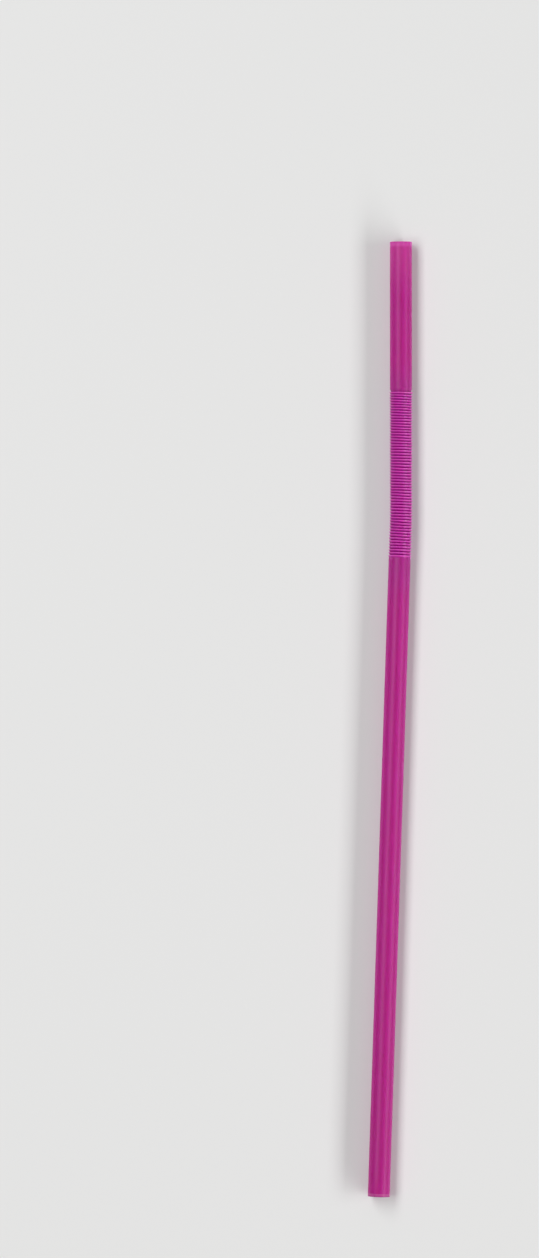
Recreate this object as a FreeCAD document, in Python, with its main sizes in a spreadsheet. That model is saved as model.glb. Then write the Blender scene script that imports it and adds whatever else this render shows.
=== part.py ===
"""Bendy drinking straw: one polypropylene tube, drawn once, with a long folded bellows in its wall.

The stem lies along Y and the mouth end is at +Y. The straw rests on its fold crests at z = 0.
The bellows is pushed together, as the straw is sold: each fold's long outer flank is a cone that
widens towards the mouth, and its short flank tucks back under the crest to the next groove.
One groove stands open on one side, which bends the straw a little, level with the ground.
Lengths are in millimetres and angles in degrees.
"""
import FreeCAD, Part
import os
import Sketcher

doc = FreeCAD.newDocument("drinking_straw")

# Each of these can be changed by itself, and the rest of the straw follows it.
driving_sizes = {
    "tube_diameter": 6.0,
    "tube_wall": 0.2,
    "stem_length": 173.8,
    "mouth_length": 40.47,
    "folds_below_bend": 14,
    "folds_above_bend": 44,
    "fold_pitch": 0.785,
    "fold_depth": 0.44,
    "fold_overhang": 0.05,
    "fold_wall": 0.15,
    "crest_rise": 0.17,
    "bend_angle": 1.9,
    "bend_radius": 6.0,
}
sheet = doc.addObject("Spreadsheet::Sheet", "sizes")
for row, (alias, value) in enumerate(driving_sizes.items(), start=1):
    sheet.set(f"A{row}", alias.replace("_", " "))
    sheet.set(f"B{row}", str(value))
    sheet.setAlias(f"B{row}", alias)
doc.recompute()

# Radii from the straw's axis outwards.
tube_radius = "sizes.tube_diameter / 2"
bore_radius = f"({tube_radius} - sizes.tube_wall)"
crest_radius = f"({tube_radius} + sizes.crest_rise)"
groove_radius = f"({crest_radius} - sizes.fold_depth)"
passage_radius = f"({groove_radius} - sizes.fold_wall)"

# Distances along the axis from the bend, on the stem's side and on the mouth's side of it.
bellows_start = "(-sizes.folds_below_bend * sizes.fold_pitch)"
stem_end = f"({bellows_start} - sizes.stem_length)"
bellows_end = "(sizes.folds_above_bend * sizes.fold_pitch)"
mouth_end = f"({bellows_end} + sizes.mouth_length)"
flank_reach = "(sizes.fold_pitch + sizes.fold_overhang)"

# A flank that climbs from a groove is level with the tube's outside after this distance.
groove_to_tube = f"({flank_reach} * (sizes.fold_depth - sizes.crest_rise) / sizes.fold_depth)"

# Where the mouth's side of the bend starts: the open groove swings it about an upright line.
past_bend_x = "(sizes.bend_radius * (cos(sizes.bend_angle) - 1))"
past_bend_y = "(sizes.bend_radius * sin(sizes.bend_angle))"


def plane_of(body, role):
    """The body's own origin plane or axis of that role."""
    return next(feature for feature in body.Origin.OriginFeatures if feature.Role == role)


def new_sketch(body, name, past_bend):
    """A level sketch whose upright axis is the straw's, before the bend or past it."""
    sketch = body.newObject("Sketcher::SketchObject", name)
    sketch.AttachmentSupport = [(plane_of(body, "XY_Plane"), "")]
    sketch.MapMode = "FlatFace"
    if past_bend:
        sketch.AttachmentOffset.Rotation.Axis = FreeCAD.Vector(0, 0, 1)
        sketch.setExpression("AttachmentOffset.Rotation.Angle", "sizes.bend_angle")
        sketch.setExpression("AttachmentOffset.Base.x", past_bend_x)
        sketch.setExpression("AttachmentOffset.Base.y", past_bend_y)
    return sketch


def hold(sketch, kind, geometry, value, expression):
    """Holds a point or a size of the sketch at an expression of the driving sizes."""
    constraint = sketch.addConstraint(Sketcher.Constraint(kind, *geometry, value))
    sketch.setExpression(f"Constraints[{constraint}]", expression)


def draw_outline(sketch, corners):
    """Closes straight edges through corners, each a radius and a distance along the axis."""
    points = [
        FreeCAD.Vector(sheet.evalExpression(radius), sheet.evalExpression(along), 0)
        for radius, along in corners
    ]
    for start, end in zip(points, points[1:] + points[:1]):
        sketch.addGeometry(Part.LineSegment(start, end), False)
    origin = (-1, 1)
    for edge, (radius, along) in enumerate(corners):
        last_edge = (edge - 1) % len(corners)
        sketch.addConstraint(Sketcher.Constraint("Coincident", last_edge, 2, edge, 1))
        hold(sketch, "DistanceX", (*origin, edge, 1), points[edge].x, radius)
        hold(sketch, "DistanceY", (*origin, edge, 1), points[edge].y, along)


def turn(body, name, corners, past_bend):
    """Adds to the body the ring that the outline through corners sweeps about the axis."""
    sketch = new_sketch(body, f"{name}_outline", past_bend)
    draw_outline(sketch, corners)
    ring = body.newObject("PartDesign::Revolution", name)
    ring.Profile = sketch
    ring.ReferenceAxis = (sketch, ["V_Axis"])
    ring.Angle = 360
    body.Tip = ring
    doc.recompute()
    return ring


def add_folds(body, name, start, count, past_bend):
    """Adds a stretch of the bellows: one fold that starts in its groove, repeated by its pitch."""
    next_groove = f"{start} + sizes.fold_pitch"
    fold = turn(
        body,
        f"{name}_fold",
        [
            (passage_radius, start),
            (groove_radius, start),
            (crest_radius, f"{start} + {flank_reach}"),
            (groove_radius, next_groove),
            (passage_radius, next_groove),
        ],
        past_bend,
    )
    folds = body.newObject("PartDesign::LinearPattern", f"{name}_folds")
    folds.Originals = [fold]
    folds.Direction = (fold.Profile[0], ["V_Axis"])
    folds.Mode = "Spacing"
    folds.setExpression("Offset", "sizes.fold_pitch")
    folds.setExpression("Occurrences", count)
    body.Tip = folds
    doc.recompute()


straw = doc.addObject("PartDesign::Body", "straw")
straw.Label = "straw"

# The stem's wall runs on over the first flank until the two are level, and narrows inside.
turn(
    straw,
    "stem",
    [
        (bore_radius, stem_end),
        (tube_radius, stem_end),
        (tube_radius, f"{bellows_start} + {groove_to_tube}"),
        (passage_radius, f"{bellows_start} + {groove_to_tube}"),
        (passage_radius, bellows_start),
        (bore_radius, f"{bellows_start} - {groove_to_tube}"),
    ],
    past_bend=False,
)
add_folds(straw, "lower", bellows_start, "sizes.folds_below_bend", past_bend=False)

# The open groove is the bare wall between two folds, swung about an upright line beside it.
groove_section = straw.newObject("Sketcher::SketchObject", "open_groove_section")
groove_section.AttachmentSupport = [(plane_of(straw, "XZ_Plane"), "")]
groove_section.MapMode = "FlatFace"
for ring_number, radius in enumerate((groove_radius, passage_radius)):
    circle = Part.Circle(FreeCAD.Vector(0, 0, 0), FreeCAD.Vector(0, 0, 1), sheet.evalExpression(radius))
    groove_section.addGeometry(circle, False)
    groove_section.addConstraint(Sketcher.Constraint("Coincident", ring_number, 3, -1, 1))
    hold(groove_section, "Radius", (ring_number,), circle.Radius, radius)
pivot_x = -sheet.evalExpression("sizes.bend_radius")
pivot_line = groove_section.addGeometry(
    Part.LineSegment(FreeCAD.Vector(pivot_x, 0, 0), FreeCAD.Vector(pivot_x, 1, 0)), True
)
groove_section.addConstraint(Sketcher.Constraint("PointOnObject", pivot_line, 1, -1))
groove_section.addConstraint(Sketcher.Constraint("Vertical", pivot_line))
hold(groove_section, "Distance", (pivot_line,), 1, "sizes.bend_radius")
hold(groove_section, "DistanceX", (pivot_line, 1, -1, 1), -pivot_x, "sizes.bend_radius")
open_groove = straw.newObject("PartDesign::Revolution", "open_groove")
open_groove.Profile = groove_section
open_groove.ReferenceAxis = (groove_section, ["Axis0"])
open_groove.setExpression("Angle", "sizes.bend_angle")
straw.Tip = open_groove
doc.recompute()

add_folds(straw, "upper", "0", "sizes.folds_above_bend", past_bend=True)

# The mouthpiece starts in the last groove and climbs out of it to the tube's full size.
turn(
    straw,
    "mouthpiece",
    [
        (passage_radius, bellows_end),
        (groove_radius, bellows_end),
        (tube_radius, f"{bellows_end} + {groove_to_tube}"),
        (tube_radius, mouth_end),
        (bore_radius, mouth_end),
        (bore_radius, f"{bellows_end} + {groove_to_tube}"),
    ],
    past_bend=True,
)

# The origin is on the ground, halfway between the straw's two ends.
mouth_x = f"({past_bend_x} - {mouth_end} * sin(sizes.bend_angle))"
mouth_y = f"({past_bend_y} + {mouth_end} * cos(sizes.bend_angle))"
straw.setExpression("Placement.Base.x", f"-{mouth_x} / 2")
straw.setExpression("Placement.Base.y", f"-({mouth_y} + {stem_end}) / 2")
straw.setExpression("Placement.Base.z", crest_radius)
doc.recompute()

for item in doc.Objects:
    if "Invalid" in item.State or "Error" in item.State:
        raise RuntimeError(f"{item.Label} failed: {item.State}")
if straw.Shape.isNull() or not straw.Shape.isValid() or len(straw.Shape.Solids) != 1:
    raise RuntimeError("the straw isn't one valid solid")

os.makedirs("parts", exist_ok=True)
straw.Shape.exportStep("parts/straw.step")
print(f"straw: {straw.Shape.BoundBox}, {straw.Shape.Volume:.1f} cubic mm, {len(straw.Shape.Faces)} faces")
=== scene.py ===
"""Looks of a bendy plastic drinking straw: magenta translucent tube, long folded bellows, pale floor.

Metres, in the CAD part's frame: the stem lies along Y, the mouth end is at +Y, the floor is z = 0.
The straw's own sizes are written in millimetres.
"""
import math

import bpy
import numpy as np
from mathutils import Matrix, Vector


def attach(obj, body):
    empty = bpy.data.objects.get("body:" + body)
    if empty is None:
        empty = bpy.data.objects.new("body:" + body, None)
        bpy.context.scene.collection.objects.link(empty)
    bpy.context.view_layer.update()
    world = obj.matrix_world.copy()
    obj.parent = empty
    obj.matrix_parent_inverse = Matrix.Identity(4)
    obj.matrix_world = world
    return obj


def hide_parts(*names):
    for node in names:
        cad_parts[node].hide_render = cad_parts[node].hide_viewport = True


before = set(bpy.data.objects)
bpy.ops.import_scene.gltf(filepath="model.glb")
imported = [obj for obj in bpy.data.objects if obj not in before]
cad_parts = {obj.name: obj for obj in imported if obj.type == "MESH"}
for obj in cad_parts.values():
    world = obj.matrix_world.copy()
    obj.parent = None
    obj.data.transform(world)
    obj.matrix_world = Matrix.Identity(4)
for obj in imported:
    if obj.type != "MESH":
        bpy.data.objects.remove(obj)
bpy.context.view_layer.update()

MM = 0.001

# The tube and its bellows, which is pushed together.
TUBE_RADIUS = 3.0
TUBE_WALL = 0.2
BORE_RADIUS = TUBE_RADIUS - TUBE_WALL
STEM_LENGTH = 173.8
MOUTH_LENGTH = 40.47
CREST_RADIUS = 3.17
GROOVE_RADIUS = 2.73
FOLD_WALL = 0.11
FOLDS_BELOW_BEND = 14
FOLDS_ABOVE_BEND = 44
CLOSED_PITCH = 0.785

# One groove stands open by this much along the axis, and the folds beside it share its bend.
OPEN_GROOVE = 0.199
BEND_ANGLE = math.radians(1.9)
BEND_RADIUS = 120.0

# Distances along the straw's axis from the open groove.
BELLOWS_START = -FOLDS_BELOW_BEND * CLOSED_PITCH
BELLOWS_END = OPEN_GROOVE + FOLDS_ABOVE_BEND * CLOSED_PITCH
FOLDS = FOLDS_BELOW_BEND + FOLDS_ABOVE_BEND
FOLD_PITCH = (BELLOWS_END - BELLOWS_START) / FOLDS
STEM_END = BELLOWS_START - STEM_LENGTH
MOUTH_END = BELLOWS_END + MOUTH_LENGTH
BEND_LENGTH = BEND_ANGLE * BEND_RADIUS
BEND_START = (OPEN_GROOVE - BEND_LENGTH) / 2

# How far the cut ends are rounded over, and how far in the middle of that round lies.
RIM_ROUND = 0.06
RIM_CORNER = 0.018

# The mesh: faces round the tube, and the longest face along it.
SIDES = 96
LONGEST_FACE = 6.0

# A fold's wall, as distances along the straw from the fold's own groove, and radii. Outside, the long
# flank widens towards the mouth up to the rounded crest, and the short flank tucks back under it.
FLANK_AND_CREST = [
    (0.700, CREST_RADIUS - 0.070),
    (0.775, CREST_RADIUS - 0.022),
    (0.815, CREST_RADIUS - 0.001),
    (0.846, CREST_RADIUS - 0.016),
    (0.848, CREST_RADIUS - 0.060),
    (0.815, GROOVE_RADIUS + 0.200),
    (0.778, GROOVE_RADIUS + 0.030),
]
FOLD_OUTSIDE = [
    (0.030, GROOVE_RADIUS + 0.004),
    (0.120, GROOVE_RADIUS + 0.042),
    (0.430, GROOVE_RADIUS + 0.215),
    *FLANK_AND_CREST,
]
HOLLOW_OF_CREST = [
    (0.630, CREST_RADIUS - 0.215),
    (0.705, CREST_RADIUS - 0.205),
    (0.690, GROOVE_RADIUS + 0.020),
]
FOLD_INSIDE = [
    (-0.070, GROOVE_RADIUS - FOLD_WALL + 0.012),
    (0.060, GROOVE_RADIUS - FOLD_WALL + 0.006),
    *HOLLOW_OF_CREST,
]

# The stem dips a little where it runs into the first flank. Distances are from the bellows' start.
STEM_DIP = [
    (-0.30, TUBE_RADIUS),
    (-0.08, TUBE_RADIUS - 0.03),
    (0.12, TUBE_RADIUS - 0.055),
    (0.30, TUBE_RADIUS - 0.01),
]
STEM_NECK_INSIDE = [
    (-1.0, BORE_RADIUS),
    (-0.5, BORE_RADIUS - 0.03),
]

# The mouthpiece climbs out of the last groove over a low step. Distances are from the bellows' end.
MOUTHPIECE_STEP = [
    (0.03, GROOVE_RADIUS + 0.004),
    (0.15, GROOVE_RADIUS + 0.06),
    (0.45, TUBE_RADIUS - 0.03),
    (0.60, TUBE_RADIUS + 0.02),
    (0.80, TUBE_RADIUS + 0.012),
    (1.10, TUBE_RADIUS - 0.04),
    (1.40, TUBE_RADIUS),
]
MOUTHPIECE_INSIDE = [
    (-0.05, GROOVE_RADIUS - FOLD_WALL + 0.01),
    (0.35, BORE_RADIUS - 0.06),
    (0.70, BORE_RADIUS),
]

# How far the folds stand from an even pitch, at places along the straw: they crowd by the mouthpiece.
CROWDING = [
    (BELLOWS_START + 2.3, 0),
    (BELLOWS_START + 9.2, 0.14),
    (BELLOWS_END - 11.5, 0.14),
    (BELLOWS_END - 6.4, -0.10),
    (BELLOWS_END, -0.54),
    (BELLOWS_END + 0.6, 0),
]

# How far the folds are out of square: a lean that all share, one that changes from fold to fold, and
# waves round each.
LEVEL_LEAN = 0.10
LEAN = 0.05
WAVE = 0.02

# Colours in linear light: the floor's, the tube's, its cut ends' and the folds'.
PALE = (0.8, 0.8, 0.795)
TUBE_DARK = (0.445, 0.012, 0.227)
TUBE_LIGHT = (0.55, 0.023, 0.325)
PURPLE_TINT = (0.36, 0.030, 0.27)
# Painted light: the tube grows paler towards the open mouth end.
MOUTH_PAINTED_LIGHT = (0.64, 0.075, 0.37)
# Painted light: a paler band at the mouth's cut end.
MOUTH_EDGE_LIGHT = (0.65, 0.080, 0.43)
# Painted light: a paler band at the stem's cut end.
STEM_EDGE_LIGHT = (0.53, 0.085, 0.33)
# Painted shade: a darker line on the stem's very rim.
STEM_RIM_SHADE = (0.40, 0.050, 0.26)
# Painted shade in the folds' grooves.
FOLD_GROOVE_SHADE = (0.29, 0.003, 0.185)
# The folds' crests: paler partly from stress whitening and partly as painted light.
FOLD_LIGHT = (0.77, 0.064, 0.54)


def axis_at(along):
    """Points on the bent axis, and the directions ahead and to the level side there."""
    along = np.asarray(along, float)
    turned = np.clip((along - BEND_START) / BEND_RADIUS, 0, BEND_ANGLE)
    before = np.minimum(along, BEND_START)
    after = np.maximum(along - BEND_START - BEND_LENGTH, 0)
    x = BEND_RADIUS * (np.cos(turned) - 1) - after * np.sin(turned)
    y = before + BEND_RADIUS * np.sin(turned) + after * np.cos(turned)
    level = np.zeros_like(turned)
    ahead = np.stack([-np.sin(turned), np.cos(turned), level], -1)
    side = np.stack([np.cos(turned), np.sin(turned), level], -1)
    return np.stack([x, y, level], -1), ahead, side


# The origin is on the floor, halfway between the straw's two ends, and the crests lie on the floor.
(stem_middle, mouth_middle), _, _ = axis_at([STEM_END, MOUTH_END])
halfway = (stem_middle + mouth_middle) / 2
TO_ORIGIN = np.array([-halfway[0], -halfway[1], CREST_RADIUS])


def moved(outline, start):
    """The outline with its distances counted from start."""
    return [(start + along, radius) for along, radius in outline]


def filled_in(outline):
    """The outline with more points along its long straight stretches."""
    points = [outline[0]]
    for along, radius in outline[1:]:
        last_along, last_radius = points[-1]
        steps = max(1, math.ceil(abs(along - last_along) / LONGEST_FACE))
        for step in range(1, steps + 1):
            share = step / steps
            points.append((
                last_along + (along - last_along) * share,
                last_radius + (radius - last_radius) * share,
            ))
    return points


def cut_end(end, inwards):
    """A rounded cut end from outside to inside: inwards is 1 or -1, towards the straw's middle."""
    return [
        (end + inwards * RIM_CORNER, TUBE_RADIUS - RIM_CORNER),
        (end, TUBE_RADIUS - RIM_ROUND),
        (end, BORE_RADIUS + RIM_ROUND),
        (end + inwards * RIM_CORNER, BORE_RADIUS + RIM_CORNER),
    ]


def wall_outline():
    """The wall's closed outline: outside to the mouth, over its edge, back inside, over the stem's."""
    outside = [(STEM_END + RIM_ROUND, TUBE_RADIUS)]
    outside += moved(STEM_DIP + FLANK_AND_CREST, BELLOWS_START)
    inside = [(STEM_END + RIM_ROUND, BORE_RADIUS)]
    inside += moved(STEM_NECK_INSIDE + HOLLOW_OF_CREST, BELLOWS_START)
    for fold in range(1, FOLDS):
        groove = BELLOWS_START + fold * FOLD_PITCH
        outside += moved(FOLD_OUTSIDE, groove)
        inside += moved(FOLD_INSIDE, groove)
    outside += moved(MOUTHPIECE_STEP, BELLOWS_END)
    outside.append((MOUTH_END - RIM_ROUND, TUBE_RADIUS))
    inside += moved(MOUTHPIECE_INSIDE, BELLOWS_END)
    inside.append((MOUTH_END - RIM_ROUND, BORE_RADIUS))
    mouth_edge = cut_end(MOUTH_END, -1)
    stem_edge = cut_end(STEM_END, 1)
    return filled_in(outside) + mouth_edge + filled_in(inside)[::-1] + stem_edge[::-1]


def in_bellows(along):
    """1 along the bellows, running out to 0 just past its two ends."""
    run_out = 1.2
    rise = np.clip((along - (BELLOWS_START - 0.2)) / run_out, 0, 1)
    fall = np.clip(((BELLOWS_END + 0.4) - along) / run_out, 0, 1)
    return np.minimum(rise, fall)


def fold_shift(along, angles):
    """How far the folds are pushed along the straw, at each place along it and each angle round it."""
    fold = ((along - BELLOWS_START) / FOLD_PITCH)[:, None]
    turn = angles[None, :]
    # The turns from fold to fold are odd ones, so that the lean doesn't repeat.
    lean = LEAN * np.sin(0.37 * fold + 0.4) * np.sin(turn + 0.8 * np.sin(0.21 * fold))
    wave = WAVE * np.sin(2 * turn + 1.3 * fold)
    # The level lean is weak below the bend and full a few folds past it.
    level_lean = -LEVEL_LEAN * np.cos(turn) * np.interp(fold, (8, 20), (0.35, 1))
    crowding = np.interp(along, *zip(*CROWDING))
    return (lean + wave + level_lean) * in_bellows(along)[:, None] + crowding[:, None]


def make_straw():
    """The straw's wall as one closed mesh, turned about the bent axis."""
    along, radius = np.array(wall_outline()).T
    angles = np.linspace(0, 2 * math.pi, SIDES, endpoint=False)
    middle, ahead, side = (part[:, None, :] for part in axis_at(along))
    up = np.array([0, 0, 1.0])
    spoke = side * np.cos(angles)[None, :, None] + up * np.sin(angles)[None, :, None]
    shift = fold_shift(along, angles)[..., None]
    points = (middle + spoke * radius[:, None, None] + ahead * shift + TO_ORIGIN) * MM

    rings = len(along)
    ring, sector = np.meshgrid(np.arange(rings), np.arange(SIDES), indexing="ij")
    next_ring = (ring + 1) % rings
    next_sector = (sector + 1) % SIDES
    corners = [
        ring * SIDES + sector,
        ring * SIDES + next_sector,
        next_ring * SIDES + next_sector,
        next_ring * SIDES + sector,
    ]
    faces = np.stack(corners, -1).reshape(-1, 4)

    mesh = bpy.data.meshes.new("drinking_straw")
    mesh.from_pydata(points.reshape(-1, 3).tolist(), [], faces.tolist())
    mesh.update()
    mesh.shade_smooth()

    # The material reads each point's place on the straight tube and its radius.
    place = np.empty((rings, SIDES, 3), np.float32)
    place[..., 0] = np.cos(angles)[None, :] * TUBE_RADIUS
    place[..., 1] = np.sin(angles)[None, :] * TUBE_RADIUS
    place[..., 2] = along[:, None]
    places = mesh.attributes.new("round_and_along", "FLOAT_VECTOR", "POINT")
    places.data.foreach_set("vector", place.ravel())
    radii = mesh.attributes.new("wall_radius", "FLOAT", "POINT")
    radii.data.foreach_set("value", np.repeat(radius, SIDES).astype(np.float32))

    straw = bpy.data.objects.new("drinking_straw", mesh)
    bpy.context.scene.collection.objects.link(straw)
    return straw


class Socket:
    """A node's output, on which plain arithmetic adds Math nodes."""

    def __init__(self, nodes, output):
        self.nodes = nodes
        self.output = output

    def __add__(self, other):
        return self.nodes.maths("ADD", self, other)

    def __radd__(self, other):
        return self.nodes.maths("ADD", other, self)

    def __sub__(self, other):
        return self.nodes.maths("SUBTRACT", self, other)

    def __rsub__(self, other):
        return self.nodes.maths("SUBTRACT", other, self)

    def __mul__(self, other):
        return self.nodes.maths("MULTIPLY", self, other)

    def __rmul__(self, other):
        return self.nodes.maths("MULTIPLY", other, self)

    def step(self, low, high):
        """0 below low, 1 above high, eased between."""
        return self.nodes.add(
            "ShaderNodeMapRange",
            {"interpolation_type": "SMOOTHSTEP"},
            {"Value": self, "From Min": low, "From Max": high},
        )


class Nodes:
    """The node tree of a material or of the world."""

    def __init__(self, owner):
        owner.use_nodes = True
        self.tree = owner.node_tree
        self.tree.nodes.clear()

    def add(self, kind, settings=None, inputs=None, output=0):
        """Adds a node, its settings first and then its inputs' values or links, and gives an output."""
        node = self.tree.nodes.new(kind)
        for name, value in (settings or {}).items():
            setattr(node, name, value)
        for name, value in (inputs or {}).items():
            socket = node.inputs[name]
            if isinstance(value, Socket):
                self.tree.links.new(value.output, socket)
            elif socket.type == "RGBA":
                socket.default_value = (*value, 1)
            else:
                socket.default_value = value
        if node.outputs:
            return Socket(self, node.outputs[output])

    def maths(self, operation, *values):
        """A Math node on numbers or outputs."""
        return self.add("ShaderNodeMath", {"operation": operation}, dict(enumerate(values)))

    def mix(self, factor, first, second):
        """The colour first where factor is 0, second where it is 1."""
        # A Mix node's input 0 is its factor, and inputs 6 and 7 and output 2 are its colours.
        inputs = {0: factor, 6: first, 7: second}
        return self.add("ShaderNodeMix", {"data_type": "RGBA"}, inputs, output=2)

    def parts(self, vector):
        """The three parts of a vector."""
        first = self.add("ShaderNodeSeparateXYZ", None, {"Vector": vector})
        return [Socket(self, output) for output in first.output.node.outputs]

    def noise(self, vector, scale, detail):
        """Noise from 0 to 1, finer along an axis where scale is larger."""
        stretched = self.add("ShaderNodeVectorMath", {"operation": "MULTIPLY"}, {0: vector, 1: scale})
        return self.add("ShaderNodeTexNoise", None, {"Vector": stretched, "Scale": 1.0, "Detail": detail})


def tube_colour(nodes, along, highlight_lines, streaks, clouds):
    """The plain tube's colour: lines of painted highlight and streaks along it, painted shade towards the
    stem end, painted light towards the mouth, a paler band of painted light at each cut end, and a dark
    line of painted shade on the stem's rim.
    """
    # Painted shade: the tube darkens over the last 110 mm towards the stem end.
    shade_towards_stem_end = 1 - along.step(STEM_END, STEM_END + 110)
    below_folds = along.step(BELLOWS_START - 14, BELLOWS_START - 2)
    past_folds = along.step(BELLOWS_END, BELLOWS_END + 9)
    # Painted light: paler over the last 16 mm towards the mouth end.
    light_towards_mouth = along.step(MOUTH_END - 16, MOUTH_END)
    # Painted light: a paler band over the last 1.7 mm at the mouth's cut end.
    mouth_edge = along.step(MOUTH_END - 1.7, MOUTH_END - 0.9)
    # Painted light: a paler band over the last 0.95 mm at the stem's cut end.
    stem_edge = 1 - along.step(STEM_END + 0.75, STEM_END + 0.95)
    # Painted shade: a darker line over the last 0.3 mm at the stem's rim.
    stem_rim_shade = 1 - along.step(STEM_END + 0.15, STEM_END + 0.30)
    # The painted highlight lines and the streaks mix the tube's dark and light colours.
    colour = nodes.mix(0.52 + highlight_lines * 0.30 + (streaks - 0.5) * 0.6, TUBE_DARK, TUBE_LIGHT)
    colour = nodes.mix(clouds * 0.35, colour, TUBE_DARK)
    # The mixes below: painted shade towards the stem end, a purple tint by the folds, painted light
    # towards the mouth and at both cut ends, and painted shade on the stem's rim.
    colour = nodes.mix(shade_towards_stem_end * 0.35, colour, TUBE_DARK)
    colour = nodes.mix(below_folds * (1 - past_folds) * 0.4, colour, PURPLE_TINT)
    colour = nodes.mix(light_towards_mouth * 0.5, colour, MOUTH_PAINTED_LIGHT)
    colour = nodes.mix(mouth_edge, colour, MOUTH_EDGE_LIGHT)
    colour = nodes.mix(stem_edge, colour, STEM_EDGE_LIGHT)
    return nodes.mix(stem_rim_shade, colour, STEM_RIM_SHADE)


def straw_plastic():
    """Dyed polypropylene that lets some light through. Where it is folded its crests are paler and more
    purple, partly from stress whitening and partly as painted light, and its grooves are darkened as
    painted shade.
    """
    material = bpy.data.materials.new("straw_plastic")
    nodes = Nodes(material)
    # An Attribute node's output 1 is a vector, and output 2 is a number.
    place = nodes.add("ShaderNodeAttribute", {"attribute_name": "round_and_along"}, output=1)
    radius = nodes.add("ShaderNodeAttribute", {"attribute_name": "wall_radius"}, output=2)
    side, up, along = nodes.parts(place)
    streaks = nodes.noise(place, (1.8, 1.8, 0.015), detail=3.0)
    clouds = nodes.noise(place, (0.25, 0.25, 0.05), detail=2.0)
    # Painted highlight: the tube is paler along eight lines round it, which stand in for the lamps'
    # highlights seen through the wall.
    around = nodes.maths("ARCTAN2", up, side)
    highlight_lines = nodes.maths("COSINE", around * 8 + math.pi)

    past_start = along.step(BELLOWS_START + 0.15, BELLOWS_START + 0.65)
    before_end = 1 - along.step(BELLOWS_END - 0.1, BELLOWS_END + 0.4)
    in_folds = past_start * before_end
    # Painted shade in the grooves, and crests paler partly from stress whitening and partly as painted
    # light.
    crest = radius.step(GROOVE_RADIUS + 0.1, CREST_RADIUS - 0.03)
    crest_top = radius.step(CREST_RADIUS - 0.15, CREST_RADIUS - 0.04)
    fold_whitening_and_shade = nodes.mix(crest, FOLD_GROOVE_SHADE, FOLD_LIGHT)
    colour = nodes.mix(in_folds, tube_colour(nodes, along, highlight_lines, streaks, clouds), fold_whitening_and_shade)

    height = streaks * 0.5 + clouds
    bump = nodes.add("ShaderNodeBump", None, {"Strength": 0.08, "Distance": 0.00004, "Height": height})
    plastic = nodes.add(
        "ShaderNodeBsdfPrincipled",
        {"subsurface_method": "RANDOM_WALK"},
        {
            "Base Color": colour,
            "Roughness": 0.38 + 0.08 * streaks,
            "Normal": bump,
            "IOR": 1.49,
            "Specular IOR Level": 0.22,
            "Coat Weight": in_folds * crest_top * 0.9,
            "Coat Roughness": 0.34,
            "Coat IOR": 1.6,
            "Subsurface Weight": 1.0,
            "Subsurface Radius": (1.0, 0.35, 0.8),
            "Subsurface Scale": 0.0003,
        },
    )
    nodes.add("ShaderNodeOutputMaterial", None, {"Surface": plastic})
    return material


def floor_finish():
    """Matt and pale, and past the straw's shadow as plain as the background."""
    shadow_reach, plain_from = 0.3, 0.8
    material = bpy.data.materials.new("floor")
    nodes = Nodes(material)
    lit = nodes.add("ShaderNodeBsdfPrincipled", None, {"Base Color": PALE, "Roughness": 0.8})
    plain = nodes.add("ShaderNodeEmission", None, {"Color": PALE, "Strength": 1.0})
    place = nodes.add("ShaderNodeNewGeometry")
    distance = nodes.add("ShaderNodeVectorMath", {"operation": "LENGTH"}, {0: place}, output=1)
    camera_ray = nodes.add("ShaderNodeLightPath")
    share = distance.step(shadow_reach, plain_from) * camera_ray
    surface = nodes.add("ShaderNodeMixShader", None, {0: share, 1: lit, 2: plain})
    nodes.add("ShaderNodeOutputMaterial", None, {"Surface": surface})
    return material


def make_floor():
    """A plain pale floor under the straw."""
    reach = 6.0
    mesh = bpy.data.meshes.new("floor")
    corners = [(-reach, -reach, 0), (reach, -reach, 0), (reach, reach, 0), (-reach, reach, 0)]
    mesh.from_pydata(corners, [], [(0, 1, 2, 3)])
    mesh.materials.append(floor_finish())
    floor = bpy.data.objects.new("floor", mesh)
    bpy.context.scene.collection.objects.link(floor)


def make_world():
    """A dim even light from all round, which the camera sees as the floor's colour."""
    room_light = 0.22
    world = bpy.data.worlds.new("studio")
    bpy.context.scene.world = world
    nodes = Nodes(world)
    light = nodes.add("ShaderNodeBackground", None, {"Color": (1, 1, 1), "Strength": room_light})
    plain = nodes.add("ShaderNodeBackground", None, {"Color": PALE, "Strength": 1.0})
    camera_ray = nodes.add("ShaderNodeLightPath")
    surface = nodes.add("ShaderNodeMixShader", None, {0: camera_ray, 1: light, 2: plain})
    nodes.add("ShaderNodeOutputWorld", None, {"Surface": surface})


def aim(thing, target, up):
    """Points a lamp or camera at the target, with the up direction towards its top."""
    forward = (Vector(target) - thing.location).normalized()
    right = forward.cross(Vector(up)).normalized()
    top = right.cross(forward)
    thing.rotation_mode = "QUATERNION"
    thing.rotation_quaternion = Matrix((right, top, -forward)).transposed().to_quaternion()


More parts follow.
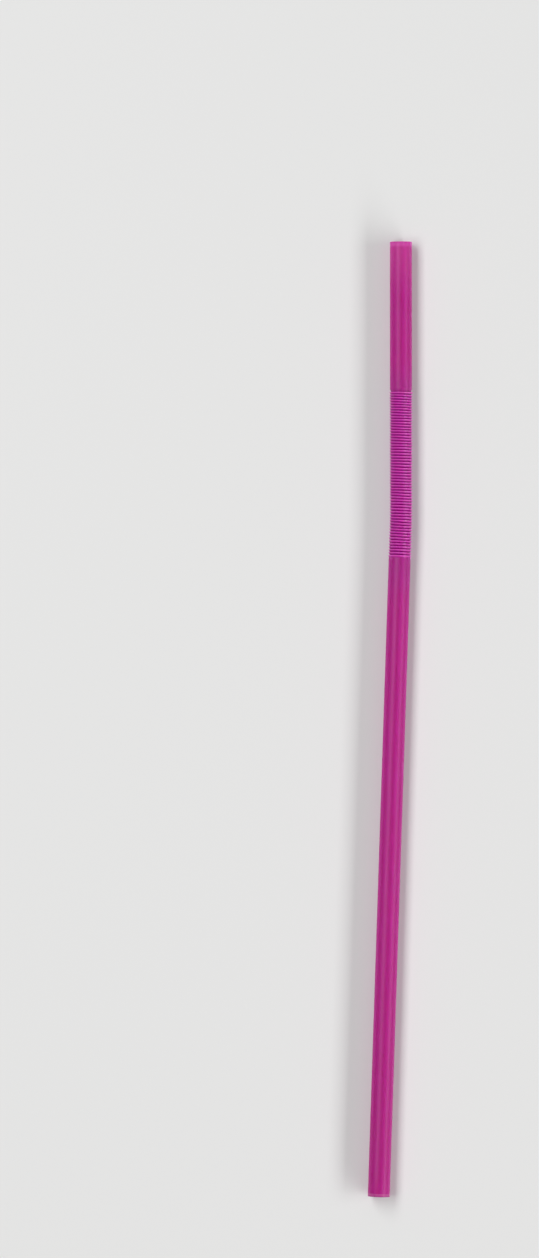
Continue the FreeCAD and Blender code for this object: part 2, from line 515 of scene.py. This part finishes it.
def make_lamp(name, place, width, length, power):
    """A long lamp level with the straw and turned to the line the straw lies on."""
    data = bpy.data.lights.new(name, "AREA")
    data.shape = "RECTANGLE"
    data.size = width
    data.size_y = length
    data.energy = power
    lamp = bpy.data.objects.new(name, data)
    bpy.context.scene.collection.objects.link(lamp)
    lamp.location = place
    lamp.visible_camera = False
    aim(lamp, (0, place[1], 0), (0, 1, 0))


def make_camera():
    """Looks straight down on the straw, framed as in the photo."""
    photo_size = Vector((539, 1258))
    pixels_per_m = 3678.0
    distance = 2.1
    sensor_height = 36
    # The upper side of the straw's two ends is at these places in the picture, in its pixels.
    mouth_px = Vector((401.1, 241.2))
    stem_px = Vector((378.9, 1197.4))

    camera = bpy.data.objects.new("camera", bpy.data.cameras.new("camera"))
    bpy.context.scene.collection.objects.link(camera)
    bpy.context.scene.camera = camera
    camera.data.sensor_fit = "VERTICAL"
    camera.data.sensor_height = sensor_height
    camera.data.lens = sensor_height * distance / (photo_size.y / pixels_per_m)
    camera.data.clip_start = 0.01
    camera.data.clip_end = 10

    mouth = Vector(((mouth_middle + TO_ORIGIN) * MM).tolist())
    stem = Vector(((stem_middle + TO_ORIGIN) * MM).tolist())
    lean_in_photo = math.atan2(mouth_px.x - stem_px.x, stem_px.y - mouth_px.y)
    lean = math.atan2(mouth.x - stem.x, mouth.y - stem.y)
    roll = lean_in_photo - lean
    up = Vector((-math.sin(roll), math.cos(roll), 0))
    right = Vector((math.cos(roll), math.sin(roll), 0))
    off_centre = ((mouth_px + stem_px) / 2 - photo_size / 2) / pixels_per_m
    centre = (mouth + stem) / 2 - right * off_centre.x + up * off_centre.y
    camera.location = (centre.x, centre.y, (CREST_RADIUS + TUBE_RADIUS) * MM + distance)
    aim(camera, (centre.x, centre.y, 0), up)


straw = make_straw()
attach(straw, "root")
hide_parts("straw")
straw.data.materials.append(straw_plastic())

make_floor()
make_world()
make_lamp("lamp_left", (-0.95, 0.68, 1.58), width=0.70, length=2.4, power=27.0)
make_lamp("lamp_right", (1.60, -1.50, 0.95), width=0.42, length=3.7, power=39.5)
make_camera()
bpy.context.scene.view_settings.view_transform = "Standard"
